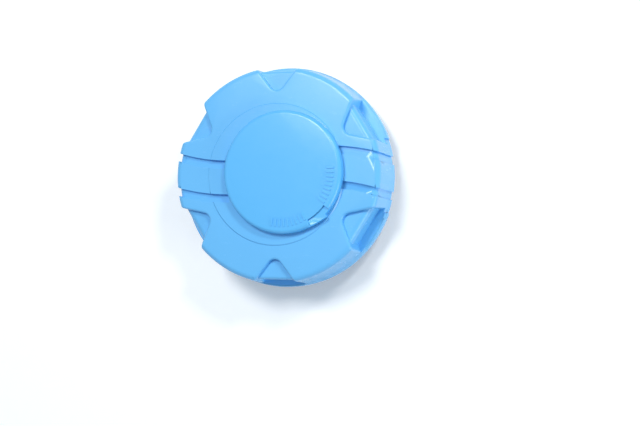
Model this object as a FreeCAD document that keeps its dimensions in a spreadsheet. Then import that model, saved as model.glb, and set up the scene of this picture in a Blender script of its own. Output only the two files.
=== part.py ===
"""Lockable cap for the 60 mm neck of a diesel exhaust fluid tank.

Millimetres. +Z points up along the cap's axis, and the origin is on that axis at the bottom of the
bayonet plate, so the cap stands on the XY plane. +X runs along the two grip bars.
"""
import FreeCAD, Part
import math
import os
import re

import Sketcher
from FreeCAD import Placement, Rotation, Vector

doc = FreeCAD.newDocument("fluid_cap")

# Driving dimensions: name, value, what it is
SIZES = [
    ("barrel_outer", 28.8, "outside of the insert where it goes into the neck"),
    ("neck_room", 10.0, "room for the wall of the neck, from the insert to the skirt"),
    ("skirt_wall", 3.2, "wall of the round skirt"),
    ("skirt_edge", 7.5, "height of the skirt's lower edge over the bottom of the bayonet plate"),
    ("skirt_rise", 5.2, "from the skirt's lower edge to its ledge"),
    ("skirt_shoulder", 1.6, "height of the sloping shoulder under the ledge"),
    ("skirt_relief", 0.8, "height and width of the bevel along the skirt's lower edge"),
    ("skirt_lip", 2.0, "height of the skirt's wide bore"),
    ("crown_rise", 18.0, "from the skirt's lower edge to the face"),
    ("ledge_width", 0.6, "how far the lobes stand back from the skirt at the ledge"),
    ("lobe_taper", 1.0, "how far they lean in from there to the face"),
    ("lobe_round", 0.9, "rounding of the lobes' upright edges and of the pockets' rims"),
    ("crown_round", 2.2, "rounding between the face and the lobes"),
    ("bar_setback", 0.5, "how far the grip bars stand back from the lobes and the skirt"),
    ("bar_zone", 28.0, "width over which the wall is set back for a grip bar"),
    ("rib_width", 9.8, "middle rib of a grip bar"),
    ("groove_width", 3.0, "groove on each side of the middle rib"),
    ("groove_depth", 1.4, "depth of the grooves in the face"),
    ("groove_notch", 0.7, "depth of the grooves in the wall and the skirt"),
    ("rib_sweep", 79.0, "radius on which a grip bar bends"),
    ("sweep_x", 18.0, "where a grip bar runs along X"),
    ("sweep_y", 2.6, "its middle there"),
    ("platform_radius", 26.3, "raised round seat that the cover turns on"),
    ("platform_rise", 0.4, "height of that seat over the face"),
    ("platform_slope", 0.4, "width of its sloping edge"),
    ("crown_wall", 2.6, "thickness of the face"),
    ("thick_ring", 2.1, "from the seat's edge to the thicker ring under the pockets"),
    ("pocket_wall", 4.6, "thickness of the face in that ring"),
    ("cavity_edge", 3.0, "height of the cavity's lower edge over the skirt's edge"),
    ("pocket_angle", 31.4, "angle of the four side pockets to the grip bars"),
    ("pocket_margin", 2.9, "from the seat's edge to the tip of a side pocket"),
    ("end_margin", 3.5, "the same for the two end pockets"),
    ("pocket_round", 3.0, "rounding of those tips"),
    ("pocket_flare", 38.0, "angle of a pocket's side to the radius"),
    ("bar_flare", 43.5, "angle of the side that is next to a grip bar"),
    ("pocket_sink", 2.2, "depth of the pockets' floor under the face"),
    ("recess_depth", 4.0, "how far the side recesses go in from the skirt"),
    ("end_depth", 2.9, "the same for the two end recesses"),
    ("recess_round", 2.4, "rounding between a side pocket's floor and that wall"),
    ("end_round", 1.2, "the same in an end pocket"),
    ("cover_radius", 22.9, "lock cover"),
    ("cover_x", 3.7, "middle of the cover when it is shut"),
    ("cover_y", 0.6, "middle of the cover when it is shut"),
    ("cover_gap", 0.15, "running gap under the cover"),
    ("cover_rise", 4.1, "top of the cover over the face"),
    ("cover_round", 1.5, "rounding of the cover's upper edge"),
    ("cover_skin", 1.6, "thickness of the cover's top"),
    ("cover_rim", 1.8, "thickness of the cover's edge"),
    ("pivot_reach", 19.5, "from the cover's middle to its pivot"),
    ("pivot_angle", 135.0, "direction of the pivot from the cover's middle"),
    ("pivot_radius", 1.75, "pivot pin"),
    ("pivot_boss", 3.3, "boss round the pin in the cover"),
    ("pivot_foot", 3.2, "washer and clip under the face"),
    ("nib_reach", 1.0, "how far the thumb nib stands out of the cover's edge"),
    ("nib_angle", -43.0, "direction of the nib's steep side"),
    ("nib_span", 24.0, "angle over which the nib grows"),
    ("nib_sweep", 44.0, "radius of the nib's edge"),
    ("nib_round", 0.7, "rounding of the nib's corner"),
    ("scoop_depth", 1.1, "depth of the thumb scoop on the nib"),
    ("scoop_width", 2.4, "its width from the cover's edge inwards"),
    ("scoop_span", 17.0, "angle that it covers before the nib's steep side"),
    ("scoop_lead", 6.0, "angle that it covers past that side"),
    ("tick_inner", 17.4, "inner end of the ticks on the cover"),
    ("tick_outer", 20.3, "outer end of the ticks"),
    ("tick_width", 0.7, "width of a tick"),
    ("tick_rise", 0.3, "how far a tick stands out"),
    ("tick_pitch", 4.8, "angle from tick to tick"),
    ("barrel_radius", 10.5, "lock housing, which is the axle of the cap"),
    ("running_fit", 0.08, "radial clearance of the parts that turn"),
    ("seat_gap", 0.1, "gap along the axis between parts that turn on each other"),
    ("flange_radius", 12.5, "flange of the lock housing"),
    ("flange_thick", 1.5, "its thickness"),
    ("barrel_end", 1.2, "height of the housing's lower end"),
    ("boss_radius", 13.4, "boss of the shell round the housing, and its ring nut"),
    ("boss_depth", 5.2, "bottom of that boss under the face"),
    ("nut_thick", 3.5, "ring nut"),
    ("nut_notch", 3.0, "width of the notches in the ring nut"),
    ("washer_thick", 0.7, "thrust washers"),
    ("ring_thick", 0.8, "retaining ring near the housing's lower end"),
    ("ring_groove", 0.9, "depth of its groove in the barrel"),
    ("ring_width", 1.9, "width of the retaining ring beyond the barrel"),
    ("plug_radius", 5.5, "lock plug"),
    ("plug_head", 6.6, "head of the plug"),
    ("plug_head_thick", 1.3, "its thickness"),
    ("key_slot_width", 1.6, "key slot"),
    ("key_slot_length", 7.6, "key slot"),
    ("key_slot_depth", 14.5, "key slot"),
    ("wafer_thick", 0.9, "a wafer of the lock"),
    ("wafer_width", 5.8, "its width across the key slot"),
    ("wafer_window", 6.1, "length of the window in a wafer"),
    ("wafer_pitch", 2.0, "from wafer to wafer"),
    ("wafer_first", 3.4, "first wafer under the top of the plug"),
    ("wafer_gap", 0.1, "clearance of a wafer in its slot"),
    ("cam_short", 3.5, "half width of the plug's oval cam"),
    ("cam_height", 4.6, "height of the cam"),
    ("pin_level", 7.75, "height of the two drive pins"),
    ("tail_radius", 2.5, "stud under the cam"),
    ("tail_clip_radius", 4.0, "clip on that stud"),
    ("clip_room", 1.0, "room round that clip"),
    ("chamber_floor", 1.7, "thickness of the housing's floor under the cam"),
    ("pin_head", 2.2, "head of a drive pin"),
    ("pin_shank", 1.4, "shank of a drive pin"),
    ("pin_head_length", 1.2, "length of the head"),
    ("pin_cam_gap", 0.1, "gap between a pin and the cam"),
    ("pin_throw", 1.8, "how far the cam pushes a pin"),
    ("pin_bore_end", 9.0, "where the wide part of a pin's bore ends"),
    ("pin_spring_wire", 0.35, "wire of the return springs"),
    ("hub_radius", 13.8, "hub of the neck insert"),
    ("flange_level", 12.0, "height of the underside of the insert's flange"),
    ("insert_flange_width", 5.9, "flange of the insert beyond its outside"),
    ("insert_flange_gap", 0.3, "clearance of that flange in the shell"),
    ("insert_flange_thick", 2.5, "its thickness"),
    ("insert_wall", 2.5, "wall of the insert"),
    ("rib_thick", 2.0, "ribs of the insert"),
    ("drive_slot", 4.4, "width of the slots that the drive pins go into"),
    ("drive_slot_height", 5.2, "height of those slots"),
    ("plate_thick", 1.5, "bayonet plate"),
    ("plate_inset", 0.4, "how far the plate's edge stands back from the insert's outside"),
    ("plate_bore", 16.0, "hole in the middle of the plate"),
    ("lug_length", 4.4, "bayonet lugs beyond the insert's outside"),
    ("lug_width", 12.0, "width of a lug"),
    ("screw_radius", 1.5, "plate screw"),
    ("screw_head", 2.9, "its countersunk head"),
    ("screw_length", 8.5, "its length"),
    ("screw_boss", 3.4, "boss that it goes into"),
    ("gasket_fit", 0.15, "gap between the neck gasket and the insert"),
    ("gasket_width", 5.2, "neck gasket beyond the insert's outside"),
    ("gasket_thick", 2.5, "neck gasket"),
    ("gasket_bead", 0.5, "raised bead on the gasket's lower side"),
    ("vent_wall", 6.6, "outside of the vent's well"),
    ("vent_well", 4.6, "inside of the vent's well"),
    ("vent_port", 2.2, "port through the flange"),
    ("poppet_radius", 3.8, "vent poppet"),
    ("poppet_thick", 1.2, "its thickness"),
    ("poppet_stem", 1.1, "its stem"),
    ("vent_lift", 1.5, "how far the poppet opens"),
    ("cage_height", 3.0, "cage that holds the vent spring"),
    ("cage_hole", 0.66, "holes in the floor of the cage"),
    ("vent_wire", 0.5, "wire of the vent spring"),
    ("filter_radius", 4.5, "filter disc over the port"),
    ("filter_thick", 0.6, "filter disc"),
]
NAMES = {name for name, value, note in SIZES}

sheet = doc.addObject("Spreadsheet::Sheet", "sizes")
for row, (name, value, note) in enumerate(SIZES, start=1):
    sheet.set(f"A{row}", name)
    sheet.set(f"B{row}", str(value))
    sheet.set(f"C{row}", note)
    sheet.setAlias(f"B{row}", name)
doc.recompute()


def bound(text):
    """The expression with each size name pointing at its cell."""
    return re.sub(r"[a-z][a-z_]*", lambda word: f"sizes.{word[0]}" if word[0] in NAMES else word[0], text)


def value(text):
    """The number that an expression stands for now."""
    result = sheet.evalExpression(bound(text))
    return float(getattr(result, "Value", result))


def bind(thing, path, text):
    """Tie one property of an object to an expression over the sizes."""
    thing.setExpression(path, bound(text))


# Radii that several pieces share, counted outwards from the part that goes into the neck
SKIRT_BORE = "(barrel_outer + neck_room)"
SKIRT = f"({SKIRT_BORE} + skirt_wall)"
LOBE_ROOT = f"({SKIRT} - ledge_width)"
LOBE_TOP = f"({LOBE_ROOT} - lobe_taper)"
INSERT_FLANGE = "(barrel_outer + insert_flange_width)"
CAVITY = f"({INSERT_FLANGE} + insert_flange_gap)"
THICK_RING = "(platform_radius + thick_ring)"
GASKET_INNER = "(barrel_outer + gasket_fit)"
GASKET_OUTER = "(barrel_outer + gasket_width)"
PLATE_RADIUS = "(barrel_outer - plate_inset)"
SCREW_CIRCLE = "((hub_radius + barrel_outer - insert_wall) / 2)"

# Heights that several pieces share, over the bottom of the bayonet plate
FACE = "(skirt_edge + crown_rise)"
SEAT = f"({FACE} + platform_rise)"
LEDGE = "(skirt_edge + skirt_rise)"
FLANGE_SEAT = f"({SEAT} - flange_thick)"
BOSS_END = f"({FACE} - boss_depth)"
NUT_END = f"({BOSS_END} - nut_thick)"
UNDERSIDE = f"({FACE} - crown_wall)"
INSERT_TOP = f"({NUT_END} - washer_thick - seat_gap)"
HUB_END = "(barrel_end + 2 * ring_thick + washer_thick + seat_gap)"
RING_LEVEL = "(barrel_end + ring_thick)"
CAM_TOP = "(pin_level + cam_height / 2)"
CAM_END = "(pin_level - cam_height / 2)"
CHAMBER_END = f"({CAM_END} - seat_gap)"
PLUG_TOP = f"({SEAT} - seat_gap)"
COVER_UNDER = f"({SEAT} + cover_gap)"
COVER_TOP = f"({FACE} + cover_rise)"
PIVOT_X = "(cover_x + pivot_reach * cos(pivot_angle * 1deg))"
PIVOT_Y = "(cover_y + pivot_reach * sin(pivot_angle * 1deg))"
TAIL_END = f"({CHAMBER_END} - chamber_floor - 2 * seat_gap - 2 * ring_thick)"
WAFERS = 6
COIL_STEPS = 14
TINY = 0.02


def new_body(name):
    """An empty PartDesign body with its Label."""
    made = doc.addObject("PartDesign::Body", name)
    made.Label = name
    return made


def new_sketch(body, name, role="XY_Plane", level="0"):
    """A sketch on one of the body's own planes, raised along that plane's normal."""
    made = body.newObject("Sketcher::SketchObject", name)
    plane = next(item for item in body.Origin.OriginFeatures if item.Role == role)
    made.AttachmentSupport = [(plane, "")]
    made.MapMode = "FlatFace"
    if level != "0":
        made.AttachmentOffset = Placement(Vector(0, 0, value(level)), Rotation())
        bind(made, "AttachmentOffset.Base.z", level)
    return made


def fix_point(sketch, geometry, place, across, along):
    """Hold a point of the sketch at two expressions over the sizes."""
    for kind, text in (("DistanceX", across), ("DistanceY", along)):
        if text == "0":
            axis = -2 if kind == "DistanceX" else -1
            sketch.addConstraint(Sketcher.Constraint("PointOnObject", geometry, place, axis))
            continue
        number = sketch.addConstraint(Sketcher.Constraint(kind, -1, 1, geometry, place, value(text)))
        sketch.setExpression(f"Constraints[{number}]", bound(text))


def draw_loop(sketch, corners):
    """A closed outline of straight lines through corners given as pairs of expressions."""
    points = [Vector(value(across), value(along), 0) for across, along in corners]
    first = sketch.GeometryCount
    for start, end in zip(points, points[1:] + points[:1]):
        sketch.addGeometry(Part.LineSegment(start, end), False)
    count = len(points)
    for step in range(count):
        after = first + (step + 1) % count
        sketch.addConstraint(Sketcher.Constraint("Coincident", first + step, 2, after, 1))
    for step, (across, along) in enumerate(corners):
        fix_point(sketch, first + step, 1, across, along)


def arc_between(start, end, radius):
    """The arc of this radius from one point to another, turning left."""
    half = (end - start) / 2
    reach = math.sqrt(radius ** 2 - half.Length ** 2)
    middle = start + half + Vector(-half.y, half.x, 0).normalize() * reach
    angles = [math.atan2(point.y - middle.y, point.x - middle.x) for point in (start, end)]
    return Part.ArcOfCircle(Part.Circle(middle, Vector(0, 0, 1), radius), *angles)


def draw_band(sketch, corners, inner, outer):
    """A closed outline of two bowed sides and two straight ends.

    The corners are the inner and outer ones of the first end, and the outer and inner ones of the
    last. The bowed sides are arcs of the radii inner and outer that turn left about the middle.
    """
    points = [Vector(value(across), value(along), 0) for across, along in corners]
    first = sketch.GeometryCount
    sketch.addGeometry(Part.LineSegment(points[0], points[1]), False)
    sketch.addGeometry(arc_between(points[1], points[2], value(outer)), False)
    sketch.addGeometry(Part.LineSegment(points[2], points[3]), False)
    sketch.addGeometry(arc_between(points[0], points[3], value(inner)), False)
    for one, end, other, place in ((0, 2, 1, 1), (1, 2, 2, 1), (2, 2, 3, 2), (3, 1, 0, 1)):
        sketch.addConstraint(Sketcher.Constraint("Coincident", first + one, end, first + other, place))
    for (number, place), (across, along) in zip(((0, 1), (0, 2), (2, 1), (2, 2)), corners):
        fix_point(sketch, first + number, place, across, along)
    for number, radius in ((1, outer), (3, inner)):
        datum = sketch.addConstraint(Sketcher.Constraint("Radius", first + number, value(radius)))
        sketch.setExpression(f"Constraints[{datum}]", bound(radius))


def draw_circle(sketch, radius, across="0", along="0"):
    """A circle whose radius and middle are expressions."""
    middle = Vector(value(across), value(along), 0)
    number = sketch.addGeometry(Part.Circle(middle, Vector(0, 0, 1), value(radius)), False)
    datum = sketch.addConstraint(Sketcher.Constraint("Radius", number, value(radius)))
    sketch.setExpression(f"Constraints[{datum}]", bound(radius))
    if across == "0" and along == "0":
        sketch.addConstraint(Sketcher.Constraint("Coincident", number, 3, -1, 1))
    else:
        fix_point(sketch, number, 3, across, along)


def turned(name, corners, across="0", along="0", body=None):
    """A piece turned about its own Z axis from a profile of radius and height."""
    body = body or new_body(name)
    sketch = new_sketch(body, f"{name}_profile", "XZ_Plane")
    draw_loop(sketch, corners)
    turn = body.newObject("PartDesign::Revolution", f"{name}_turn")
    turn.Profile = sketch
    turn.ReferenceAxis = (sketch, ["V_Axis"])
    turn.Angle = 360.0
    place_body(body, across, along)
    doc.recompute()
    return body


def place_body(body, across="0", along="0"):
    """Stand a body at a place in the XY plane."""
    for path, text in (("Placement.Base.x", across), ("Placement.Base.y", along)):
        if text != "0":
            bind(body, path, text)


def ring(name, inner, outer, low, high, across="0", along="0"):
    """A plain ring or washer."""
    return turned(name, [(inner, low), (outer, low), (outer, high), (inner, high)], across, along)


def pad(body, sketch, height, name):
    """Raise a sketch by an expression."""
    made = body.newObject("PartDesign::Pad", name)
    made.Profile = sketch
    bind(made, "Length", height)
    doc.recompute()
    return made


def pocket_up(body, sketch, height, name):
    """Cut upwards from a sketch by an expression, and make sure that it cuts."""
    before = body.Shape.Volume
    made = body.newObject("PartDesign::Pocket", name)
    made.Profile = sketch
    made.Reversed = True
    bind(made, "Length", height)
    doc.recompute()
    if not body.Shape.Volume < before:
        raise RuntimeError(f"{name} cuts nothing")
    return made


def round_edges(body, radius, name, wanted):
    """Round the edges of the body that a test on their middle picks."""
    base = body.Tip
    picked = [f"Edge{number}" for number, edge in enumerate(base.Shape.Edges, start=1)
              if wanted(edge)]
    made = body.newObject("PartDesign::Fillet", name)
    made.Base = (base, picked)
    bind(made, "Radius", radius)
    doc.recompute()
    return made


def middle_of(edge):
    """The point half way along an edge."""
    return edge.valueAt((edge.FirstParameter + edge.LastParameter) / 2)


def is_ring_edge(edge, radius, height):
    """Whether an edge is the circle of this radius at this height."""
    point = middle_of(edge)
    return abs(math.hypot(point.x, point.y) - radius) < TINY and abs(point.z - height) < TINY


def turn_pattern(body, feature, count, name):
    """Repeat a feature evenly round the Z axis."""
    made = body.newObject("PartDesign::PolarPattern", name)
    made.Originals = [feature]
    z_axis = next(item for item in body.Origin.OriginFeatures if item.Role == "Z_Axis")
    made.Axis = (z_axis, [""])
    made.Angle = 360.0
    made.Occurrences = count
    body.Tip = made
    doc.recompute()
    return made


def polar(radius, angle):
    """The two coordinates of a point at a radius and an angle, as expressions."""
    return (f"{radius} * cos(({angle}) * 1deg)", f"{radius} * sin(({angle}) * 1deg)")


# Grip shell

def shell_blank():
    """The shell as a turned moulding: face, seat, wall, skirt, cavity and boss."""
    body = turned("shell_blank", [
        ("barrel_radius + running_fit", BOSS_END),
        ("boss_radius", BOSS_END),
        ("boss_radius", UNDERSIDE),
        (THICK_RING, UNDERSIDE),
        (f"{THICK_RING} + pocket_wall - crown_wall", f"{FACE} - pocket_wall"),
        (CAVITY, f"{FACE} - pocket_wall"),
        (CAVITY, "skirt_edge + cavity_edge"),
        (SKIRT_BORE, "skirt_edge + skirt_lip"),
        (SKIRT_BORE, "skirt_edge"),
        (f"{SKIRT} - skirt_relief", "skirt_edge"),
        (SKIRT, "skirt_edge + skirt_relief"),
        (SKIRT, f"{LEDGE} - skirt_shoulder"),
        (LOBE_ROOT, LEDGE),
        (LOBE_TOP, FACE),
        ("platform_radius + platform_slope", FACE),
        ("platform_radius", SEAT),
        ("flange_radius + running_fit", SEAT),
        ("flange_radius + running_fit", FLANGE_SEAT),
        ("barrel_radius + running_fit", FLANGE_SEAT),
    ])
    round_edges(body, "crown_round", "crown_rounding",
                lambda edge: is_ring_edge(edge, value(LOBE_TOP), value(FACE)))
    return body


def rim_core(name, setback, sink):
    """A turned solid that follows the shell's outline, set back from its wall and its face."""
    top = f"({FACE} - {sink})"
    body = turned(name, [
        ("0", "0"),
        (f"{SKIRT} - {setback}", "0"),
        (f"{SKIRT} - {setback}", "skirt_edge"),
        (f"{LOBE_ROOT} - {setback}", LEDGE),
        (f"{LOBE_TOP} - {setback}", top),
        ("0", top),
    ])
    round_edges(body, "crown_round", f"{name}_rounding",
                lambda edge: is_ring_edge(edge, value(f"{LOBE_TOP} - {setback}"), value(top)))
    return body


def barred_blank():
    """The blank with its wall set back for the two grip bars."""
    height = "2 * crown_rise"
    rim = part_cylinder("bar_rim", f"{SKIRT} + crown_round", height)
    middle = part_cylinder("bar_middle", "platform_radius + platform_slope + crown_round", height)
    zone = part_box("bar_zone", f"4 * {SKIRT}", "bar_zone", height, (f"-2 * {SKIRT}", "-bar_zone / 2", "0"))
    around = part_common("bar_surround", [part_cut("bar_ring", rim, middle), zone])
    tool = part_cut("bar_tool", around, rim_core("bar_core", "bar_setback", "0"))
    return part_cut("barred_blank", shell_blank(), tool)


def seen_from(angle, radius, across):
    """A point at a radius along a direction and a distance across it."""
    return (f"{radius} * cos(({angle}) * 1deg) - ({across}) * sin(({angle}) * 1deg)",
            f"{radius} * sin(({angle}) * 1deg) + ({across}) * cos(({angle}) * 1deg)")


def recess_plan(sketch, angle, tip, depth, flares):
    """A recess of the wall in plan: a wall across the radius, and two sides that flare out."""
    wall = f"({SKIRT} - {depth})"
    reach = f"({SKIRT} + crown_round)"
    corners = []
    for radius, sign, flare in ((wall, "-", flares[0]), (reach, "-", flares[0]),
                                (reach, "", flares[1]), (wall, "", flares[1])):
        corners.append(seen_from(angle, radius, f"{sign}({radius} - {tip}) * tan({flare} * 1deg)"))
    draw_loop(sketch, corners)


def pocket_plan(sketch, angle, tip, depth, flares):
    """A wedge pocket in plan: a tip towards the middle, and a wide end inside the recess."""
    reach = f"({SKIRT} - {depth} + crown_round)"
    corners = [seen_from(angle, tip, "0")]
    for sign, flare in (("-", flares[0]), ("", flares[1])):
        corners.append(seen_from(angle, reach, f"{sign}({reach} - {tip}) * tan({flare} * 1deg)"))
    draw_loop(sketch, corners)


SIDE_TIP = "(platform_radius + pocket_margin)"
END_TIP = "(platform_radius + end_margin)"

# Each pocket: its direction, its tip, the depth of its recess and the flare of its two sides
POCKETS = [
    ("90", END_TIP, "end_depth", ("pocket_flare", "pocket_flare")),
    ("270", END_TIP, "end_depth", ("pocket_flare", "pocket_flare")),
    ("pocket_angle", SIDE_TIP, "recess_depth", ("bar_flare", "pocket_flare")),
    ("180 - pocket_angle", SIDE_TIP, "recess_depth", ("pocket_flare", "bar_flare")),
    ("180 + pocket_angle", SIDE_TIP, "recess_depth", ("bar_flare", "pocket_flare")),
    ("360 - pocket_angle", SIDE_TIP, "recess_depth", ("pocket_flare", "bar_flare")),
]


def shell_pockets(body):
    """The six recesses in the wall and the six wedge pockets in the face, with their roundings."""
    for number, (angle, tip, depth, flares) in enumerate(POCKETS, start=1):
        recess = new_sketch(body, f"recess_{number}_plan", level=LEDGE)
        recess_plan(recess, angle, tip, depth, flares)
        pocket_up(body, recess, "crown_rise", f"recess_{number}")
        wedge = new_sketch(body, f"wedge_{number}_plan", level=f"{FACE} - pocket_sink")
        pocket_plan(wedge, angle, tip, depth, flares)
        pocket_up(body, wedge, "crown_rise", f"wedge_{number}")
    floor = value(f"{FACE} - pocket_sink")

    def is_tip(edge):
        point = middle_of(edge)
        radius = math.hypot(point.x, point.y)
        near = value("platform_radius") < radius < value(f"{END_TIP} + crown_round")
        return near and edge.BoundBox.ZLength > value("pocket_sink") / 2

    def is_floor_end(edge, depth):
        point = middle_of(edge)
        past_wall = math.hypot(point.x, point.y) - value(f"{SKIRT} - {depth}")
        return abs(point.z - floor) < TINY and abs(past_wall) < TINY

    round_edges(body, "pocket_round", "pocket_tip_rounding", is_tip)
    round_edges(body, "recess_round", "recess_rounding", lambda edge: is_floor_end(edge, "recess_depth"))
    round_edges(body, "end_round", "end_rounding", lambda edge: is_floor_end(edge, "end_depth"))
    round_edges(body, "lobe_round", "rim_rounding", lambda edge: is_pocket_rim(body, edge))


def is_pocket_rim(body, edge):
    """Whether an edge lies in the face, between it and the side or the tip of a pocket."""
    point = middle_of(edge)
    in_face = abs(point.z - value(FACE)) < TINY
    round_top = edge.Curve.TypeId == "Part::GeomCircle" and edge.Curve.Radius > value(THICK_RING)
    flat = edge.BoundBox.ZLength < TINY
    return in_face and flat and not round_top and math.hypot(point.x, point.y) > value(THICK_RING)


def part_cylinder(name, radius, height, across="0", along="0", level="0"):
    """A Part cylinder tied to the sizes."""
    made = doc.addObject("Part::Cylinder", name)
    bind(made, "Radius", radius)
    bind(made, "Height", height)
    for path, text in (("x", across), ("y", along), ("z", level)):
        if text != "0":
            bind(made, f"Placement.Base.{path}", text)
    return made


def part_box(name, length, width, height, corner):
    """A Part box tied to the sizes, with its lowest corner at three expressions."""
    made = doc.addObject("Part::Box", name)
    for path, text in (("Length", length), ("Width", width), ("Height", height)):
        bind(made, path, text)
    for path, text in zip("xyz", corner):
        if text != "0":
            bind(made, f"Placement.Base.{path}", text)
    return made


def part_cut(name, base, tool):
    """One solid less another."""
    made = doc.addObject("Part::Cut", name)
    made.Base, made.Tool = base, tool
    return made


def part_fuse(name, pieces):
    """Solids joined into one."""
    made = doc.addObject("Part::MultiFuse", name)
    made.Shapes = pieces
    return made


def part_common(name, pieces):
    """What solids share."""
    made = doc.addObject("Part::MultiCommon", name)
    made.Shapes = pieces
    return made


def grip_shell():
    """The blue moulding: barred blank, pockets, and bent grooves beside the middle ribs."""
    blank = barred_blank()
    doc.recompute()
    body = new_body("pocketed_shell")
    body.BaseFeature = blank
    doc.recompute()
    shell_pockets(body)
    height = "3 * crown_rise"
    sides = []
    for side, sign in (("right", ""), ("left", "-")):
        middle = (f"{sign}(sweep_x)", f"{sign}(sweep_y - rib_sweep)")
        rings = []
        for place, offset in (("upper", "(rib_width + groove_width) / 2"),
                              ("lower", "-(rib_width + groove_width) / 2")):
            outer = part_cylinder(f"{side}_{place}_outer", f"rib_sweep + {offset} + groove_width / 2",
                                  height, *middle)
            inner = part_cylinder(f"{side}_{place}_inner", f"rib_sweep + {offset} - groove_width / 2",
                                  height, *middle)
            rings.append(part_cut(f"{side}_{place}_ring", outer, inner))
        low = "sweep_x" if side == "right" else f"-sweep_x - {SKIRT}"
        window = part_box(f"{side}_window", SKIRT, "bar_zone", height, (low, "-bar_zone / 2", "0"))
        both = part_fuse(f"{side}_rings", rings)
        sides.append(part_common(f"{side}_grooves", [both, window]))
    core = rim_core("groove_core", "(bar_setback + groove_notch)", "groove_depth")
    grooves = part_cut("groove_tool", part_fuse("groove_rings", sides), core)
    bore = part_cylinder("pivot_bore", "pivot_radius + running_fit", "3 * crown_wall",
                         PIVOT_X, PIVOT_Y, f"{UNDERSIDE} - crown_wall")
    shell = part_cut("grip_shell", body, part_fuse("shell_cuts", [grooves, bore]))
    doc.recompute()
    return shell


# Lock cover and its pivot

def lock_cover():
    """A hollow disc that stands off the middle, with a thumb nib, a scoop and two rows of ticks."""
    body = new_body("lock_cover")
    turned("lock_cover", [
        ("0", f"{COVER_TOP} - cover_skin"),
        ("cover_radius - cover_rim", f"{COVER_TOP} - cover_skin"),
        ("cover_radius - cover_rim", COVER_UNDER),
        ("cover_radius", COVER_UNDER),
        ("cover_radius", COVER_TOP),
        ("0", COVER_TOP),
    ], "cover_x", "cover_y", body)
    round_edges(body, "cover_round", "cover_rounding",
                lambda edge: is_ring_edge(edge, value("cover_radius"), value(COVER_TOP)))
    pivot = polar("pivot_reach", "pivot_angle")
    boss = new_sketch(body, "pivot_boss_plan", level=COVER_UNDER)
    draw_circle(boss, "pivot_boss", *pivot)
    pad(body, boss, f"{COVER_TOP} - cover_skin / 2 - {COVER_UNDER}", "pivot_boss_pad")
    hole = new_sketch(body, "pivot_hole_plan", level=COVER_UNDER)
    draw_circle(hole, "pivot_radius", *pivot)
    pocket_up(body, hole, f"{COVER_TOP} - cover_skin - {COVER_UNDER}", "pivot_hole")

    nib = new_sketch(body, "nib_plan", level=COVER_UNDER)
    draw_band(nib, [
        polar("(cover_radius - cover_rim)", "nib_angle - nib_span"),
        polar("cover_radius", "nib_angle - nib_span"),
        polar("(cover_radius + nib_reach)", "nib_angle"),
        polar("(cover_radius - cover_rim)", "nib_angle"),
    ], "(cover_radius - cover_rim)", "nib_sweep")
    pad(body, nib, f"{COVER_TOP} - scoop_depth - {COVER_UNDER}", "nib_pad")
    scoop = new_sketch(body, "scoop_plan", level=f"{COVER_TOP} - scoop_depth")
    draw_band(scoop, [
        polar("(cover_radius - scoop_width)", "nib_angle - scoop_span"),
        polar("(cover_radius + 2 * nib_reach)", "nib_angle - scoop_span"),
        polar("(cover_radius + 2 * nib_reach)", "nib_angle + scoop_lead"),
        polar("(cover_radius - scoop_width)", "nib_angle + scoop_lead"),
    ], "(cover_radius - scoop_width)", "(cover_radius + 2 * nib_reach)")
    pocket_up(body, scoop, "2 * scoop_depth", "scoop")
    corner = value("cover_radius + nib_reach")
    round_edges(body, "nib_round", "nib_rounding",
                lambda edge: edge.BoundBox.ZLength > value("scoop_width")
                and abs(math.hypot(middle_of(edge).x, middle_of(edge).y) - corner) < TINY)

    for name, first, count in (("right", "4", 9), ("lower", "-62", 9)):
        tick = new_sketch(body, f"{name}_tick_plan", level=f"{COVER_TOP} - tick_rise")
        turn = f"({first} - {count - 1} * tick_pitch)"
        corners = []
        for radius, across in (("tick_inner", "-tick_width / 2"), ("tick_outer", "-tick_width / 2"),
                               ("tick_outer", "tick_width / 2"), ("tick_inner", "tick_width / 2")):
            corners.append((f"{radius} * cos({turn} * 1deg) - ({across}) * sin({turn} * 1deg)",
                            f"{radius} * sin({turn} * 1deg) + ({across}) * cos({turn} * 1deg)"))
        draw_loop(tick, corners)
        ridge = pad(body, tick, "2 * tick_rise", f"{name}_tick")
        row = body.newObject("PartDesign::PolarPattern", f"{name}_ticks")
        row.Originals = [ridge]
        z_axis = next(item for item in body.Origin.OriginFeatures if item.Role == "Z_Axis")
        row.Axis = (z_axis, [""])
        bind(row, "Angle", f"{count - 1} * tick_pitch")
        row.Occurrences = count
        body.Tip = row
        doc.recompute()
    return body


def cover_pivot():
    """The pin pressed into the cover, and the washer and clip under the face that hold it down."""
    clip_top = f"({UNDERSIDE} - seat_gap - washer_thick)"
    pin = turned("pivot_pin", [
        ("0", f"{clip_top} - 2 * washer_thick"),
        ("pivot_radius", f"{clip_top} - 2 * washer_thick"),
        ("pivot_radius", f"{COVER_TOP} - cover_skin"),
        ("0", f"{COVER_TOP} - cover_skin"),
    ], PIVOT_X, PIVOT_Y)
    washer = ring("pivot_washer", "pivot_radius + running_fit", "pivot_foot", clip_top,
                  f"{UNDERSIDE} - seat_gap", PIVOT_X, PIVOT_Y)
    clip = ring("pivot_clip", "pivot_radius", "pivot_foot - running_fit", f"{clip_top} - washer_thick",
                clip_top, PIVOT_X, PIVOT_Y)
    return [pin, washer, clip]


# Lock

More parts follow.
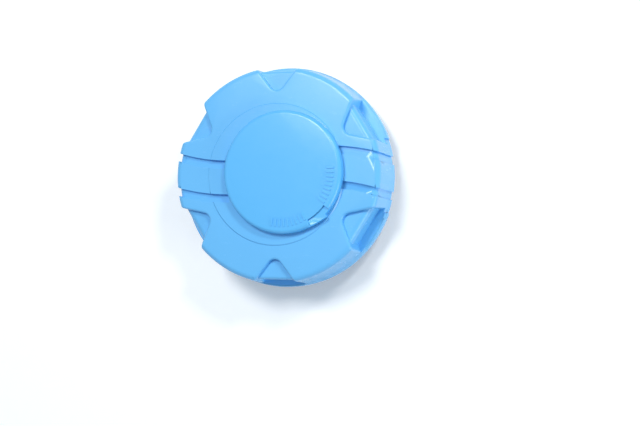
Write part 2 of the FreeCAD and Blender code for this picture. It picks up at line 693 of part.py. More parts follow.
def lock_housing():
    """Flanged barrel with the plug's bore, the cam chamber and two cross bores for the drive pins."""
    head_seat = f"({SEAT} - plug_head_thick)"
    clip_seat = f"({CHAMBER_END} - chamber_floor)"
    body = turned("lock_housing", [
        ("tail_clip_radius + clip_room", "barrel_end"),
        ("barrel_radius", "barrel_end"),
        ("barrel_radius", RING_LEVEL),
        ("barrel_radius - ring_groove", RING_LEVEL),
        ("barrel_radius - ring_groove", f"{RING_LEVEL} + ring_thick"),
        ("barrel_radius", f"{RING_LEVEL} + ring_thick"),
        ("barrel_radius", FLANGE_SEAT),
        ("flange_radius", FLANGE_SEAT),
        ("flange_radius", SEAT),
        ("plug_head + running_fit", SEAT),
        ("plug_head + running_fit", head_seat),
        ("plug_radius + running_fit", head_seat),
        ("plug_radius + running_fit", CHAMBER_END),
        ("tail_radius + running_fit", CHAMBER_END),
        ("tail_radius + running_fit", clip_seat),
        ("tail_clip_radius + clip_room", clip_seat),
    ])
    for name, radius, reach in (("wide", "pin_head + running_fit", "pin_bore_end"),
                                ("narrow", "pin_shank + running_fit", "(2 * barrel_radius)")):
        plan = new_sketch(body, f"{name}_cross_bore_plan", "YZ_Plane")
        draw_circle(plan, radius, "0", "pin_level")
        cut = body.newObject("PartDesign::Pocket", f"{name}_cross_bore")
        cut.Profile = plan
        cut.Midplane = True
        bind(cut, "Length", f"2 * {reach}")
        doc.recompute()
    return body


def lock_plug():
    """The plug with its head, key slot, wafer slots, oval cam and tail stud."""
    turned_plug = turned("plug_blank", [
        ("0", CAM_TOP),
        ("plug_radius", CAM_TOP),
        ("plug_radius", f"{SEAT} - plug_head_thick"),
        ("plug_head", f"{SEAT} - plug_head_thick"),
        ("plug_head", PLUG_TOP),
        ("0", PLUG_TOP),
    ])
    oval = doc.addObject("Part::Ellipse", "cam_oval")
    bind(oval, "MajorRadius", "cam_short + pin_throw - 2 * seat_gap")
    bind(oval, "MinorRadius", "cam_short")
    oval.Placement = Placement(Vector(0, 0, 0), Rotation(Vector(0, 0, 1), 90))
    bind(oval, "Placement.Base.z", CAM_END)
    oval_face = doc.addObject("Part::Face", "cam_face")
    oval_face.Sources = [oval]
    cam = doc.addObject("Part::Extrusion", "cam")
    cam.Base = oval_face
    cam.Dir = Vector(0, 0, 1)
    bind(cam, "LengthFwd", "cam_height")
    stud = part_cylinder("tail_stud", "tail_radius", f"{CAM_END} - {TAIL_END}", level=TAIL_END)
    solid = part_fuse("plug_solid", [turned_plug, cam, stud])
    slot = part_box("key_slot", "key_slot_width", "key_slot_length", "2 * key_slot_depth",
                    ("-key_slot_width / 2", "-key_slot_length / 2", f"{PLUG_TOP} - key_slot_depth"))
    cuts = [slot]
    for number in range(WAFERS):
        corner = ("-wafer_width / 2 - wafer_gap", "-2 * plug_radius",
                  f"{PLUG_TOP} - wafer_first - {number} * wafer_pitch - wafer_thick - wafer_gap")
        cuts.append(part_box(f"wafer_slot_{number + 1}", "wafer_width + 2 * wafer_gap",
                             "4 * plug_radius", "wafer_thick + 2 * wafer_gap", corner))
    return part_cut("lock_plug", solid, part_fuse("plug_cuts", cuts))


def lock_wafers():
    """The wafers, flush in the plug as a fitting key holds them: plates with a window for the key."""
    pieces = []
    for number in range(WAFERS):
        level = f"({PLUG_TOP} - wafer_first - {number} * wafer_pitch - wafer_thick)"
        disc = part_cylinder(f"wafer_disc_{number + 1}", "plug_radius - wafer_gap", "wafer_thick",
                             level=level)
        strip = part_box(f"wafer_strip_{number + 1}", "wafer_width", "2 * plug_radius", "wafer_thick",
                         ("-wafer_width / 2", "-plug_radius", level))
        plate = part_common(f"wafer_plate_{number + 1}", [disc, strip])
        window = part_box(f"wafer_window_{number + 1}", "key_slot_width + 2 * wafer_gap",
                          "wafer_window", "3 * wafer_thick",
                          ("-key_slot_width / 2 - wafer_gap", "-wafer_window / 2",
                           f"{level} - wafer_thick"))
        pieces.append(part_cut(f"wafer_{number + 1}", plate, window))
    return group("lock_wafers", pieces)


def group(name, pieces):
    """Separate solids that share one node."""
    made = doc.addObject("Part::Compound", name)
    made.Links = pieces
    return made


def lie_along_x(body, sign):
    """Turn a piece made along Z to point outwards along X, at the level of the drive pins."""
    body.Placement = Placement(Vector(0, 0, 0), Rotation(Vector(0, 1, 0), 90 * sign))
    bind(body, "Placement.Base.z", "pin_level")


def coil(name, radius, wire, low, height, turns, across="0", along="0"):
    """A compression spring wound round its own Z axis, of short straight runs of six-sided wire."""
    rise = value(f"{height} - {wire}")
    mean = value(radius)
    thick = value(f"{wire} / 2")
    helix = Part.makeHelix(rise / turns, rise, mean)
    path = Part.makePolygon(helix.discretize(turns * COIL_STEPS + 1))
    ahead = path.Vertexes[1].Point - path.Vertexes[0].Point
    corners = []
    for number in range(7):
        turn = math.radians(60 * number)
        corners.append(Vector(thick * math.cos(turn), 0, thick * math.sin(turn)))
    section = Part.makePolygon(corners)
    section.Placement = Placement(path.Vertexes[0].Point, Rotation(Vector(0, 1, 0), ahead))
    made = doc.addObject("Part::Feature", name)
    made.Shape = path.makePipeShell([section], True, False, 1)
    base = Vector(value(across), value(along), value(f"{low} + {wire} / 2"))
    made.Placement = Placement(base, Rotation())
    return made


def drive_pins():
    """Two pins in the barrel's cross bores, each with its return spring behind the head."""
    start = "(cam_short + pin_cam_gap)"
    shoulder = f"({start} + pin_head_length)"
    made = []
    for side, sign in (("right", 1), ("left", -1)):
        pin = turned(f"drive_pin_{side}", [
            ("0", start),
            ("pin_head / 2", start),
            ("pin_head", f"{start} + pin_head_length / 2"),
            ("pin_head", shoulder),
            ("pin_shank", shoulder),
            ("pin_shank", "barrel_radius - seat_gap"),
            ("0", "barrel_radius - seat_gap"),
        ])
        spring = coil(f"pin_spring_{side}", "(pin_head + pin_shank) / 2 + running_fit / 2",
                      "pin_spring_wire", shoulder, f"(pin_bore_end - {shoulder})", 4)
        lie_along_x(pin, sign)
        reach = Vector(0, 0, value(f"{shoulder} + pin_spring_wire / 2"))
        turn = Rotation(Vector(0, 1, 0), 90 * sign)
        spring.Placement = Placement(Vector(0, 0, value("pin_level")) + turn.multVec(reach), turn)
        made += [pin, spring]
    return made


def barrel_fasteners():
    """The ring nut under the face, the two thrust washers and the ring that carries the insert."""
    nut = ring("ring_nut", "barrel_radius", "boss_radius", NUT_END, BOSS_END)
    notch = new_sketch(nut, "nut_notch_plan", level=NUT_END)
    draw_loop(notch, [
        ("boss_radius - nut_notch / 2", "-nut_notch / 2"),
        ("boss_radius + nut_notch", "-nut_notch / 2"),
        ("boss_radius + nut_notch", "nut_notch / 2"),
        ("boss_radius - nut_notch / 2", "nut_notch / 2"),
    ])
    cut = pocket_up(nut, notch, "2 * nut_thick", "nut_notch_cut")
    turn_pattern(nut, cut, 4, "nut_notches")
    upper = ring("upper_washer", "barrel_radius + running_fit", "boss_radius",
                 f"{NUT_END} - washer_thick", NUT_END)
    ring_top = f"({RING_LEVEL} + ring_thick)"
    lower = ring("lower_washer", "barrel_radius + running_fit", f"{SCREW_CIRCLE} - vent_wall - running_fit",
                 ring_top, f"{ring_top} + washer_thick")
    keeper = ring("retaining_ring", "barrel_radius - ring_groove", "barrel_radius + ring_width",
                  RING_LEVEL, ring_top)
    mouth = new_sketch(keeper, "ring_mouth_plan", level=RING_LEVEL)
    draw_loop(mouth, [
        ("0", "-ring_width"),
        ("2 * barrel_radius", "-ring_width"),
        ("2 * barrel_radius", "ring_width"),
        ("0", "ring_width"),
    ])
    pocket_up(keeper, mouth, "2 * ring_thick", "ring_mouth")
    clip_top = f"({CHAMBER_END} - chamber_floor - seat_gap)"
    tail = ring("plug_clip", "tail_radius", "tail_clip_radius", f"{clip_top} - ring_thick", clip_top)
    return [nut, upper, lower, keeper, tail]


# Neck insert

SCREW_ANGLES = ["30", "150", "210", "330"]
VENT = ("0", f"-{SCREW_CIRCLE}")


def neck_insert():
    """The black moulding: hub on the barrel, flange, wall for the neck, ribs, bosses and vent well."""
    body = turned("neck_insert", [
        ("barrel_radius + running_fit", HUB_END),
        ("hub_radius", HUB_END),
        ("hub_radius", "flange_level"),
        ("barrel_outer - insert_wall", "flange_level"),
        ("barrel_outer - insert_wall", "plate_thick"),
        ("barrel_outer", "plate_thick"),
        ("barrel_outer", "flange_level"),
        (INSERT_FLANGE, "flange_level"),
        (INSERT_FLANGE, "flange_level + insert_flange_thick"),
        ("hub_radius", "flange_level + insert_flange_thick"),
        ("hub_radius", INSERT_TOP),
        ("barrel_radius + running_fit", INSERT_TOP),
    ])
    web = new_sketch(body, "insert_rib_plan", level=HUB_END)
    draw_loop(web, [
        ("hub_radius - rib_thick / 2", "-rib_thick / 2"),
        ("barrel_outer - insert_wall / 2", "-rib_thick / 2"),
        ("barrel_outer - insert_wall / 2", "rib_thick / 2"),
        ("hub_radius - rib_thick / 2", "rib_thick / 2"),
    ])
    rib = pad(body, web, f"flange_level - {HUB_END} + insert_flange_thick / 2", "insert_rib")
    turn_pattern(body, rib, 6, "insert_ribs")
    bosses = new_sketch(body, "screw_boss_plan", level="plate_thick")
    holes = new_sketch(body, "screw_hole_plan", level="plate_thick")
    for angle in SCREW_ANGLES:
        draw_circle(bosses, "screw_boss", *polar(SCREW_CIRCLE, angle))
        draw_circle(holes, "screw_radius + running_fit", *polar(SCREW_CIRCLE, angle))
    draw_circle(bosses, "vent_wall", *VENT)
    pad(body, bosses, "flange_level - plate_thick + insert_flange_thick / 2", "screw_bosses")
    pocket_up(body, holes, "screw_length", "screw_holes")
    well = new_sketch(body, "vent_well_plan", level="plate_thick")
    draw_circle(well, "vent_well", *VENT)
    pocket_up(body, well, "flange_level - plate_thick", "vent_well_bore")
    port = new_sketch(body, "vent_port_plan", level="plate_thick")
    draw_circle(port, "vent_port", *VENT)
    pocket_up(body, port, INSERT_TOP, "vent_port_bore")
    reach = "(hub_radius + ring_thick / 2)"
    for name, long_side, short_side in (("x", reach, "drive_slot / 2"), ("y", "drive_slot / 2", reach)):
        slot = new_sketch(body, f"drive_slot_{name}_plan", level="pin_level - drive_slot_height / 2")
        draw_loop(slot, [
            (f"-{long_side}", f"-{short_side}"),
            (long_side, f"-{short_side}"),
            (long_side, short_side),
            (f"-{long_side}", short_side),
        ])
        pocket_up(body, slot, "drive_slot_height", f"drive_slot_{name}")
    return body


def bayonet_plate():
    """Steel plate under the insert, with two lugs, countersunk screw holes and a vent hole."""
    body = ring("bayonet_plate", "plate_bore", PLATE_RADIUS, "0", "plate_thick")
    lugs = new_sketch(body, "lug_plan")
    for sign in ("", "-"):
        foot = f"{sign}({PLATE_RADIUS} - insert_wall)"
        tip = f"{sign}(barrel_outer + lug_length)"
        draw_loop(lugs, [
            ("-lug_width / 2", foot),
            ("lug_width / 2", foot),
            ("lug_width / 2", tip),
            ("-lug_width / 2", tip),
        ])
    pad(body, lugs, "plate_thick", "lugs")
    holes = new_sketch(body, "plate_hole_plan")
    for angle in SCREW_ANGLES:
        draw_circle(holes, "screw_radius + running_fit", *polar(SCREW_CIRCLE, angle))
    pocket_up(body, holes, "2 * plate_thick", "plate_holes")
    vent = new_sketch(body, "plate_vent_plan")
    draw_circle(vent, "vent_port", *VENT)
    pocket_up(body, vent, "2 * plate_thick", "plate_vent")
    base = body.Tip
    rim = value("screw_radius + running_fit")
    picked = []
    for number, edge in enumerate(base.Shape.Edges, start=1):
        is_hole = edge.Curve.TypeId == "Part::GeomCircle" and abs(edge.Curve.Radius - rim) < TINY
        if is_hole and abs(middle_of(edge).z) < TINY:
            picked.append(f"Edge{number}")
    sink = body.newObject("PartDesign::Chamfer", "countersinks")
    sink.Base = (base, picked)
    bind(sink, "Size", "screw_head - screw_radius - running_fit")
    doc.recompute()
    return body


def plate_screws():
    """Four countersunk screws, one node."""
    pieces = []
    for number, angle in enumerate(SCREW_ANGLES, start=1):
        pieces.append(turned(f"plate_screw_{number}", [
            ("0", "seat_gap"),
            ("screw_head - 2 * seat_gap", "seat_gap"),
            ("screw_radius", "screw_head - screw_radius"),
            ("screw_radius", "screw_length"),
            ("0", "screw_length"),
        ], *polar(SCREW_CIRCLE, angle)))
    return group("plate_screws", pieces)


def neck_gasket():
    """Flat ring round the insert, with a raised bead where it meets the neck."""
    low = "(flange_level - gasket_thick)"
    middle = f"(({GASKET_INNER} + {GASKET_OUTER}) / 2)"
    return turned("neck_gasket", [
        (GASKET_INNER, f"{low} + gasket_bead"),
        (f"{middle} - 2 * gasket_bead", f"{low} + gasket_bead"),
        (f"{middle} - gasket_bead", low),
        (f"{middle} + gasket_bead", low),
        (f"{middle} + 2 * gasket_bead", f"{low} + gasket_bead"),
        (GASKET_OUTER, f"{low} + gasket_bead"),
        (GASKET_OUTER, "flange_level"),
        (GASKET_INNER, "flange_level"),
    ])


def vent():
    """Cage, poppet, spring and filter of the vent."""
    floor_top = "(plate_thick + washer_thick)"
    cage = turned("vent_cage", [
        ("poppet_stem + seat_gap", "plate_thick"),
        ("vent_well - running_fit", "plate_thick"),
        ("vent_well - running_fit", "plate_thick + cage_height"),
        ("vent_well - washer_thick", "plate_thick + cage_height"),
        ("vent_well - washer_thick", floor_top),
        ("poppet_stem + seat_gap", floor_top),
    ], *VENT)
    holes = new_sketch(cage, "cage_hole_plan", level="plate_thick")
    for angle in ("90", "210", "330"):
        draw_circle(holes, "cage_hole", *polar("(poppet_radius + poppet_stem) / 2", angle))
    pocket_up(cage, holes, "2 * washer_thick", "cage_holes")
    top = "(flange_level - seat_gap)"
    under = f"({top} - poppet_thick)"
    poppet = turned("vent_poppet", [
        ("0", "vent_lift + seat_gap"),
        ("poppet_stem", "vent_lift + seat_gap"),
        ("poppet_stem", under),
        ("poppet_radius", under),
        ("poppet_radius", top),
        ("0", top),
    ], *VENT)
    spring = coil("vent_spring", "(poppet_stem + poppet_radius) / 2", "vent_wire", floor_top,
                  f"({under} - {floor_top})", 5, *VENT)
    deck = "(flange_level + insert_flange_thick)"
    disc = turned("filter_disc", [
        ("0", deck),
        ("filter_radius", deck),
        ("filter_radius", f"{deck} + filter_thick"),
        ("0", f"{deck} + filter_thick"),
    ], *VENT)
    return [cage, poppet, spring, disc]


# Build every piece, check the document and write one file for each piece

pieces = [grip_shell(), lock_cover(), *cover_pivot(), lock_housing(), lock_plug(), lock_wafers(),
          *drive_pins(), *barrel_fasteners(), neck_insert(), bayonet_plate(), plate_screws(),
          neck_gasket(), *vent()]
doc.recompute()

for item in doc.Objects:
    if {"Invalid", "Error"} & set(item.State):
        raise RuntimeError(f"{item.Name} failed: {item.State}")

os.makedirs("parts", exist_ok=True)
for piece in pieces:
    piece.Label = piece.Name
    shape = piece.Shape
    if shape.isNull() or not shape.isValid():
        raise RuntimeError(f"{piece.Label} has no valid shape")
    shape.exportStep(f"parts/{piece.Label}.step")
    box = shape.BoundBox
    print(f"{piece.Label:18} solids {len(shape.Solids)} volume {shape.Volume:9.1f}"
          f"  z {box.ZMin:6.2f} to {box.ZMax:6.2f}")
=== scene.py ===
# %% [markdown]
# # A lockable cap for a diesel exhaust fluid tank
#
# The cap is a blue plastic moulding with wedge pockets and ribbed grip bars. A disc on its face swings
# aside and uncovers a barrel lock. A black insert under it goes into the neck of the tank. The solids
# come from the CAD model, so this scene is mostly about surfaces: smooth shading, moulded plastic,
# plated and cast metal, rubber, and the bright white table that the cap lies on.

# %% Load the frame
import bpy, math
from mathutils import Matrix, Vector


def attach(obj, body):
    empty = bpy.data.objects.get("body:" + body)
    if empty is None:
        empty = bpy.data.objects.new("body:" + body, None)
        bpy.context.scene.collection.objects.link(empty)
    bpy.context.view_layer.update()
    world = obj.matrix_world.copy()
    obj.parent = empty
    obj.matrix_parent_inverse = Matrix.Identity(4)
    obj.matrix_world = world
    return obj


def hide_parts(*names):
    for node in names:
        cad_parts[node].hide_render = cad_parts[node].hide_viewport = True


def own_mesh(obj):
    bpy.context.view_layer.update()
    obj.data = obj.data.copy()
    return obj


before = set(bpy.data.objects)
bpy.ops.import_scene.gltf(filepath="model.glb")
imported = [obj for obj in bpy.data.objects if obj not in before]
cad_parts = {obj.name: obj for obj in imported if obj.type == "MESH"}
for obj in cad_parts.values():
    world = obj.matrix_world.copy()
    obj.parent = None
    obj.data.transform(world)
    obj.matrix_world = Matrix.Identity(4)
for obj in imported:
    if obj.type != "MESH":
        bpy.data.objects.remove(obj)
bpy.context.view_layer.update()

MM = 0.001
FACE = 25.5 * MM  # height of the cap's face, which the camera looks at

# %% [markdown]
# ## Camera
#
# The photograph looks down on the face from about 19 degrees off the cap's axis. The camera is turned
# to look along that line, and the sensor is shifted so that the cap stands left of the middle and a
# little high, as it does in the photograph. A long lens keeps the rim close to a circle.

# %% The camera
TILT, TURN, ROLL, DISTANCE = math.radians(19.1), math.radians(-13.1), math.radians(0.8), 450 * MM

back = Vector((math.sin(TILT) * math.cos(TURN), math.sin(TILT) * math.sin(TURN), math.cos(TILT)))
right = Vector((0, 1, 0)).cross(back).normalized()
up = back.cross(right)
rolled_right = math.cos(ROLL) * right + math.sin(ROLL) * up
rolled_up = math.cos(ROLL) * up - math.sin(ROLL) * right

bpy.ops.object.camera_add()
camera = bpy.context.object
camera.name = "camera"
turned = Matrix((rolled_right, rolled_up, back)).transposed().to_4x4()
camera.matrix_world = Matrix.Translation(Vector((0, 0, FACE)) + DISTANCE * back) @ turned
camera.data.lens = 68.0
camera.data.sensor_width = 36.0
camera.data.shift_x = 0.0703
camera.data.shift_y = -0.0608
camera.data.clip_start = 0.01
bpy.context.scene.camera = camera
print("camera at", [round(value * 1000, 1) for value in camera.location])

# %% [markdown]
# ## Writing shader maths
#
# A surface is never one flat value, so its colour, gloss and bump come from noise that is scaled and
# mixed. Written node by node that is hard to read. This small class wraps the output of a node, and
# its operators add Math nodes, so a line such as `0.3 + 0.1 * grain` says what it does.

# %% Maths on node outputs
# The Mix node has one set of sockets for each type of data. These are the numbers of those for colour.
MIX_SHARE, MIX_FIRST, MIX_SECOND, MIX_RESULT = 0, 6, 7, 2


class Reading:
    """One number that varies over a surface: the output socket of a node."""

    def __init__(self, finish, socket):
        self.finish, self.socket = finish, socket

    def maths(self, operation, first, second):
        return self.finish.add("Math", {"operation": operation}, {0: first, 1: second})

    def __add__(self, other):
        return self.maths("ADD", self, other)

    def __radd__(self, other):
        return self.maths("ADD", other, self)

    def __sub__(self, other):
        return self.maths("SUBTRACT", self, other)

    def __rsub__(self, other):
        return self.maths("SUBTRACT", other, self)

    def __mul__(self, other):
        return self.maths("MULTIPLY", self, other)

    def __rmul__(self, other):
        return self.maths("MULTIPLY", other, self)


class Finish:
    """A material that is being made, with the Principled shader that its readings feed."""

    def __init__(self, name, **numbers):
        self.material = bpy.data.materials.new(name)
        self.material.use_nodes = True
        self.nodes = self.material.node_tree.nodes
        self.links = self.material.node_tree.links
        self.shader = self.nodes["Principled BSDF"]
        for socket, number in numbers.items():
            self.shader.inputs[socket.replace("_", " ")].default_value = number

    def add(self, kind, settings=None, values=None, output=0):
        """One node of a kind, its settings made first, then the values or links of its sockets."""
        node = self.nodes.new("ShaderNode" + kind)
        for name, setting in (settings or {}).items():
            setattr(node, name, setting)
        for socket, value in (values or {}).items():
            self.join(value, node.inputs[socket])
        return Reading(self, node.outputs[output])

    def join(self, value, socket):
        if isinstance(value, Reading):
            self.links.new(value.socket, socket)
        else:
            socket.default_value = value

    def feed(self, **readings):
        """Link readings to the Principled shader's sockets."""
        for name, reading in readings.items():
            self.join(reading, self.shader.inputs[name.replace("_", " ")])

    def place(self, stretch=(1, 1, 1)):
        """Object coordinates in metres, stretched where a pattern is long one way."""
        spot = self.add("TexCoord", output="Object")
        return self.add("Mapping", {}, {"Vector": spot, "Scale": stretch})

    def noise(self, scale, detail, stretch=(1, 1, 1)):
        """Noise from 0 to 1, with about `scale` lumps in a metre."""
        return self.add("TexNoise", {}, {"Vector": self.place(stretch), "Scale": scale, "Detail": detail})

    def tint(self, share, first, second):
        """A colour between two, by a share from 0 to 1."""
        values = {MIX_SHARE: share, MIX_FIRST: first, MIX_SECOND: second}
        return self.add("Mix", {"data_type": "RGBA"}, values, output=MIX_RESULT)

    def bump(self, height, distance):
        """Small relief from a height of 0 to 1, where 1 stands for a distance in metres."""
        return self.add("Bump", {}, {"Height": height, "Distance": distance})


def colour(red, green, blue):
    """A colour for a socket, from the three numbers from 0 to 255 that a colour picker shows.

    A picker's numbers follow the sRGB curve, and a socket wants the amount of light.
    """
    channels = []
    for part in (red, green, blue):
        share = part / 255
        channels.append(share / 12.92 if share <= 0.04045 else ((share + 0.055) / 1.055) ** 2.4)
    return (*channels, 1.0)


# %% [markdown]
# ## Blue moulded plastic
#
# The shell and the cover are the same bright blue plastic, moulded with a fine satin grain. Such a
# surface has a broad, soft highlight. Its gloss changes a little where the mould was polished, and the
# colour is a touch deeper where the material is thick. Both come from slow noise, and the grain from
# fast noise through a Bump node.

# %% Blue plastic for the shell and the cover
def blue_plastic(name, deep, light, gloss):
    """Satin plastic between two blues, with a roughness of at least `gloss`."""
    finish = Finish(name, IOR=1.46)
    cloud = finish.noise(38, 3)
    grain = finish.noise(5200, 2)
    flow = finish.noise(160, 4, (1, 3, 1))
    finish.feed(
        Base_Color=finish.tint(cloud, deep, light),
        Roughness=gloss + 0.10 * flow + 0.05 * grain,
        Normal=finish.bump(grain + 0.2 * flow, 0.00002),
    )
    return finish.material


shell_blue = blue_plastic("shell_blue", colour(101, 185, 242), colour(106, 189, 245), 0.18)
cover_blue = blue_plastic("cover_blue", colour(90, 183, 243), colour(96, 188, 247), 0.16)


# %% [markdown]
# ## Metals
#
# The lock's housing is a grey casting, its plug is nickel plated and its wafers are brass. The plate
# is zinc plated, and the pins, clips, springs and screws are bright steel. Turned parts have fine rings
# round their axis, so a Wave texture of rings round Z gives the grain.

# %% Metal finishes
def turned_metal(name, base, rough, rings=2600, relief=0.000006):
    """Metal with fine rings round Z, a little darker where it is worn."""
    finish = Finish(name, Metallic=1.0)
    cloud = finish.noise(90, 4)
    ring = finish.add("TexWave", {"wave_type": "RINGS", "rings_direction": "Z"},
                      {"Vector": finish.place(), "Scale": rings, "Distortion": 1.5, "Detail": 2.0},
                      output="Fac")
    darker = (base[0] * 0.82, base[1] * 0.82, base[2] * 0.84, 1.0)
    finish.feed(
        Base_Color=finish.tint(cloud, darker, base),
        Roughness=rough + 0.12 * cloud + 0.06 * ring,
        Normal=finish.bump(ring, relief),
    )
    return finish.material


bright_steel = turned_metal("bright_steel", colour(196, 196, 198), 0.22)
nickel = turned_metal("nickel", colour(186, 182, 172), 0.26, 1500)
lock_brass = turned_metal("lock_brass", colour(208, 176, 104), 0.25)
zinc = turned_metal("zinc", colour(158, 163, 168), 0.36, 700, 0.00001)
cast_grey = turned_metal("cast_grey", colour(132, 135, 140), 0.40, 900, 0.00001)
nut_alloy = turned_metal("nut_alloy", colour(188, 190, 192), 0.34)


# %% [markdown]
# ## Black plastic, rubber, white plastic and felt
#
# The insert is a black moulding with a coarser grain than the cap. The gasket is duller still. The
# washers and the poppet are a waxy white plastic, and the filter is pressed fibre.

# %% Dull finishes
def dull(name, dark, light, rough, grain_scale, relief):
    """A finish with little gloss: cloudy colour and a grain with a relief in metres."""
    finish = Finish(name)
    cloud = finish.noise(60, 3)
    grain = finish.noise(grain_scale, 3)
    finish.feed(
        Base_Color=finish.tint(cloud, dark, light),
        Roughness=rough + 0.1 * cloud,
        Normal=finish.bump(grain, relief),
    )
    return finish.material


insert_black = dull("insert_black", colour(26, 27, 29), colour(34, 35, 37), 0.42, 3200, 0.00004)
gasket_rubber = dull("gasket_rubber", colour(30, 30, 30), colour(42, 41, 40), 0.72, 4200, 0.00003)
waxy_white = dull("waxy_white", colour(226, 225, 218), colour(236, 235, 229), 0.38, 2500, 0.00001)
felt = dull("felt", colour(196, 194, 186), colour(226, 224, 216), 0.9, 5200, 0.00012)


# %% [markdown]
# ## Smooth twins of the CAD pieces
#
# A CAD piece arrives as loose flat triangles, so a round wall shows its facets. A twin of each piece is
# joined along its edges, its flat faces are made whole again, and it is shaded smooth wherever two faces
# meet at a small angle. A face with more than four corners is a flat of the real piece, so it is marked
# as strong: the Weighted Normal modifier then keeps it flat right up to a rounding. The twin stands for
# the piece in the picture, and the piece stays for the simulation.

# %% Helpers that select and smooth
WELD = 0.000002  # metres: corners that are nearer than this are one corner
FLAT = math.radians(0.4)  # faces that meet at less than this are one flat
SMOOTH = math.radians(18)  # faces that meet at less than this are shaded as one surface


def only(piece):
    """Make one object the only one selected, and the active one."""
    bpy.ops.object.select_all(action="DESELECT")
    piece.select_set(True)
    bpy.context.view_layer.objects.active = piece


def twin_of(node, piece_name, body, finish):
    """A joined and smoothly shaded copy of a CAD piece, which stands for it."""
    twin = bpy.data.objects.new(piece_name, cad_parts[node].data.copy())
    bpy.context.scene.collection.objects.link(twin)
    only(twin)
    bpy.ops.object.mode_set(mode="EDIT")
    bpy.ops.mesh.select_all(action="SELECT")
    bpy.ops.mesh.remove_doubles(threshold=WELD)
    bpy.ops.mesh.dissolve_limited(angle_limit=FLAT)
    bpy.ops.mesh.select_mode(type="FACE")
    bpy.ops.mesh.mod_weighted_strength(set=True, face_strength="MEDIUM")
    bpy.ops.mesh.select_face_by_sides(number=4, type="GREATER", extend=False)
    bpy.ops.mesh.mod_weighted_strength(set=True, face_strength="STRONG")
    bpy.ops.object.mode_set(mode="OBJECT")
    twin.data.materials.clear()
    twin.data.materials.append(finish)
    bpy.ops.object.shade_smooth_by_angle(angle=SMOOTH)
    bpy.ops.object.modifier_add(type="WEIGHTED_NORMAL")
    weighting = twin.modifiers[-1]
    weighting.mode = "CORNER_ANGLE"
    weighting.use_face_influence = True
    weighting.keep_sharp = True
    bpy.ops.object.modifier_apply(modifier=weighting.name)
    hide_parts(node)
    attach(twin, body)
    return twin


# %% Twins of all pieces
# CAD node, name of its twin, body that it rides on, material slot, finish
TWINS = [
    ("grip_shell", "shell_moulding", "shell", "shell_plastic", shell_blue),
    ("lock_cover", "cover_disc", "cover", "cover_plastic", cover_blue),
    ("pivot_pin", "cover_pin", "cover", "steel", bright_steel),
    ("pivot_clip", "cover_clip", "cover", "steel", bright_steel),
    ("pivot_washer", "cover_washer", "shell", "steel", bright_steel),
    ("lock_housing", "barrel", "shell", "housing_metal", cast_grey),
    ("lock_plug", "key_plug", "plug", "plug_metal", nickel),
    ("lock_wafers", "wafers", "plug", "brass", lock_brass),
    ("plug_clip", "tail_clip", "plug", "steel", bright_steel),
    ("drive_pin_right", "right_pin", "pin_right", "steel", bright_steel),
    ("drive_pin_left", "left_pin", "pin_left", "steel", bright_steel),
    ("pin_spring_right", "right_spring", "shell", "steel", bright_steel),
    ("pin_spring_left", "left_spring", "shell", "steel", bright_steel),
    ("ring_nut", "barrel_nut", "shell", "nut_metal", nut_alloy),
    ("upper_washer", "top_washer", "shell", "washer_plastic", waxy_white),
    ("lower_washer", "bottom_washer", "shell", "washer_plastic", waxy_white),
    ("retaining_ring", "keeper_ring", "shell", "steel", bright_steel),
    ("neck_insert", "insert_moulding", "insert", "insert_plastic", insert_black),
    ("bayonet_plate", "lug_plate", "insert", "plate_steel", zinc),
    ("plate_screws", "screws", "insert", "steel", bright_steel),
    ("neck_gasket", "gasket", "insert", "gasket_rubber", gasket_rubber),
    ("vent_cage", "cage", "insert", "insert_plastic", insert_black),
    ("vent_poppet", "poppet_valve", "poppet", "washer_plastic", waxy_white),
    ("vent_spring", "valve_spring", "insert", "steel", bright_steel),
    ("filter_disc", "filter", "insert", "filter_felt", felt),
]
twins = {}
for node, piece_name, body, slot, finish in TWINS:
    twins[node] = twin_of(node, piece_name, body, finish)
print("twins:", len(twins), "faces:", sum(len(twin.data.polygons) for twin in twins.values()))

# %% [markdown]
# ## The springs
#
# When the key turns, a cam pushes the two drive pins out of the barrel, and each pin presses its return
# spring against a shoulder. The vent's poppet does the same with its own spring. So each spring keeps
# one end where it is and loses as much length as its pin or poppet travels. Here each spring's twin only
# gets a mesh of its own, and the share of its length that it keeps is printed.

# %% Springs get meshes of their own
# CAD node, joint, axis, and in mm: where its still end is, its length, how far the joint goes
SPRINGS = [
    ("pin_spring_right", "pin_right_slide", (1, 0, 0), 9.0, 4.2, 1.8),
    ("pin_spring_left", "pin_left_slide", (-1, 0, 0), 9.0, 4.2, 1.8),
    ("vent_spring", "vent_lift", (0, 0, 1), 2.2, 8.5, 1.5),
]
for node, joint, axis, foot, length, travel in SPRINGS:
    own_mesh(twins[node])
    print(node, "keeps", round(1 - travel / length, 2), "of its length")


# %% [markdown]
# ## Table and light
#
# The photograph is high key: a white table under soft daylight from the top of the picture. The table
# here is pale, and a camera ray or a mirrored one finds a little glow of its own on it, so that it
# reads as white paper and still takes the soft shadow under the rim. The overhead lamp stands high and
# a little behind the cap. A small window lamp at the upper right draws the bright lines along the
# roundings, a side lamp lights the walls at the right, and a pale blue sky gives the rest.

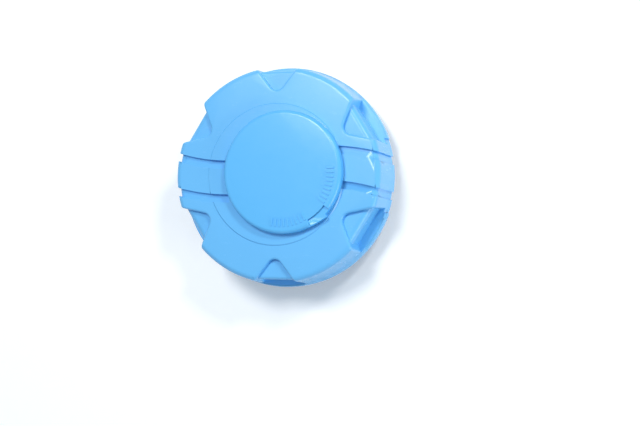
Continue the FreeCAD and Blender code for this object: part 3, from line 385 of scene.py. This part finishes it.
# %% The white table
bpy.ops.mesh.primitive_plane_add(size=6.0, location=(0, 0, -0.05 * MM))
table = bpy.context.object
table.name = "table"
paper = Finish("paper", Roughness=0.9, Emission_Strength=0.2)
straight = (paper.add("LightPath", output="Is Camera Ray") + paper.add("LightPath", output="Is Glossy Ray")
            + paper.add("LightPath", output="Is Transmission Ray"))
paper.feed(
    Base_Color=paper.tint(paper.noise(220, 3), colour(246, 247, 248), colour(250, 250, 251)),
    Emission_Color=paper.tint(straight, (0, 0, 0, 1), (1, 1, 1, 1)),
)
table.data.materials.append(paper.material)

# %% The sky
world = bpy.data.worlds.new("studio")
bpy.context.scene.world = world
world.use_nodes = True
sky_nodes, sky_links = world.node_tree.nodes, world.node_tree.links
sky = sky_nodes["Background"]  # the light that falls on the cap
sky.inputs["Color"].default_value = (0.55, 0.78, 1.0, 1.0)
sky.inputs["Strength"].default_value = 0.33
white = sky_nodes.new("ShaderNodeBackground")  # what the camera and mirrored rays find
white.inputs["Color"].default_value = (1, 1, 1, 1)
white.inputs["Strength"].default_value = 1.0
ray = sky_nodes.new("ShaderNodeLightPath")
seen = ray.outputs["Is Camera Ray"]
for kind in ("Is Glossy Ray", "Is Transmission Ray"):
    either = sky_nodes.new("ShaderNodeMath")
    either.operation = "MAXIMUM"
    sky_links.new(seen, either.inputs[0])
    sky_links.new(ray.outputs[kind], either.inputs[1])
    seen = either.outputs[0]
chooser = sky_nodes.new("ShaderNodeMixShader")
sky_links.new(seen, chooser.inputs[0])
sky_links.new(sky.outputs[0], chooser.inputs[1])
sky_links.new(white.outputs[0], chooser.inputs[2])
sky_links.new(chooser.outputs[0], sky_nodes["World Output"].inputs[0])

# %% The lamps
LAMP_AIM = Vector((0, 0, 0.01))


def lamp(name, place, size, watts, tint=(1, 1, 1)):
    """A square area lamp at a place, turned towards the middle of the cap."""
    bpy.ops.object.light_add(type="AREA", location=place)
    made = bpy.context.object
    made.name = name
    made.data.shape = "SQUARE"
    made.data.size = size
    made.data.energy = watts
    made.data.color = tint
    made.rotation_euler = (LAMP_AIM - Vector(place)).to_track_quat("-Z", "Y").to_euler()


lamp("overhead", (-0.10, 0.30, 0.80), 0.22, 4.0, (1.0, 0.975, 0.94))
lamp("window", (0.40, 0.40, 0.57), 0.11, 1.8, (1.0, 0.98, 0.95))
lamp("side", (0.65, -0.34, 0.20), 0.3, 1.9)

# %% The plain view of colour
bpy.context.scene.view_settings.view_transform = "Standard"
